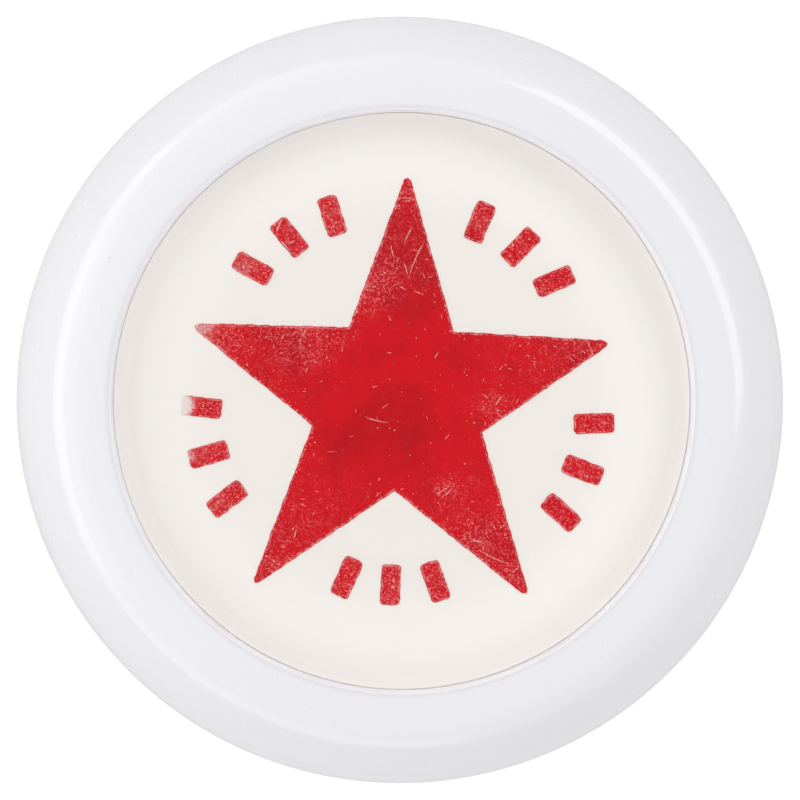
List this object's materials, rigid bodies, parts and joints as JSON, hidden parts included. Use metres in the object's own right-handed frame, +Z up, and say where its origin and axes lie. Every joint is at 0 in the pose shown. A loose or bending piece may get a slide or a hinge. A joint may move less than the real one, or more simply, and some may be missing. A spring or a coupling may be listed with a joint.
{
  "type": "pre-inked hand stamp",
  "caption": "Round pre-inked craft stamp: clear index window in a white knob, spring-return plunger in a skirt, star-and-rays die, lift-off dust cap.",
  "frame": {"origin": "centre of the dust cap's underside, where the capped stamp stands", "axes": "+Z up along the press axis towards the knob, +Y towards the top of the printed design, +X to its right"},
  "size_m": [0.04, 0.04, 0.052],
  "materials": {
    "knob_plastic": "glossy moulded white ABS",
    "shell_plastic": "glossy moulded white ABS",
    "inner_plastic": "natural moulded acetal",
    "bush_plastic": "grey moulded acetal",
    "cap_plastic": "frosted clear polypropylene",
    "clear_window": "clear polished acrylic",
    "card": "uncoated off-white card",
    "print_ink": "stamped red ink, worn",
    "soft_rubber": "soft grey elastomer",
    "die_rubber": "microporous, soaked with red ink",
    "inked_felt": "felt soaked with red ink",
    "spring_steel": "drawn spring wire",
    "washer_steel": "zinc-plated"
  },
  "bodies": {
    "cap": {"dust_cap": "cap_plastic"},
    "skirt": {"skirt_shell": "shell_plastic", "guide_sleeve": "inner_plastic", "neck_bush": "bush_plastic", "foot_ring": "soft_rubber", "spring_seat_lower": "washer_steel", "return_spring": "spring_steel"},
    "plunger": {"knob_crown": "knob_plastic", "knob_base": "knob_plastic", "index_card": "card", "index_print": "print_ink", "index_lens": "clear_window", "knob_screw": "washer_steel", "screw_washer": "washer_steel", "spring_seat_upper": "washer_steel", "piston": "inner_plastic", "refill_plugs": "soft_rubber", "stop_bumper": "soft_rubber", "feed_plate": "inner_plastic", "ink_reservoir": "inked_felt", "stamp_die": "die_rubber", "die_collar": "bush_plastic"}
  },
  "joints": [
    {"name": "lift_off", "type": "slide", "parent": "cap", "child": "skirt", "axis": [0, 0, 1], "range_m": [0, 0.02]},
    {"name": "press", "type": "slide", "parent": "skirt", "child": "plunger", "axis": [0, 0, -1], "range_m": [0, 0.005], "stiffness_N_per_m": 1000, "springref_m": -0.003, "deforming": ["return_spring"]}
  ]
}
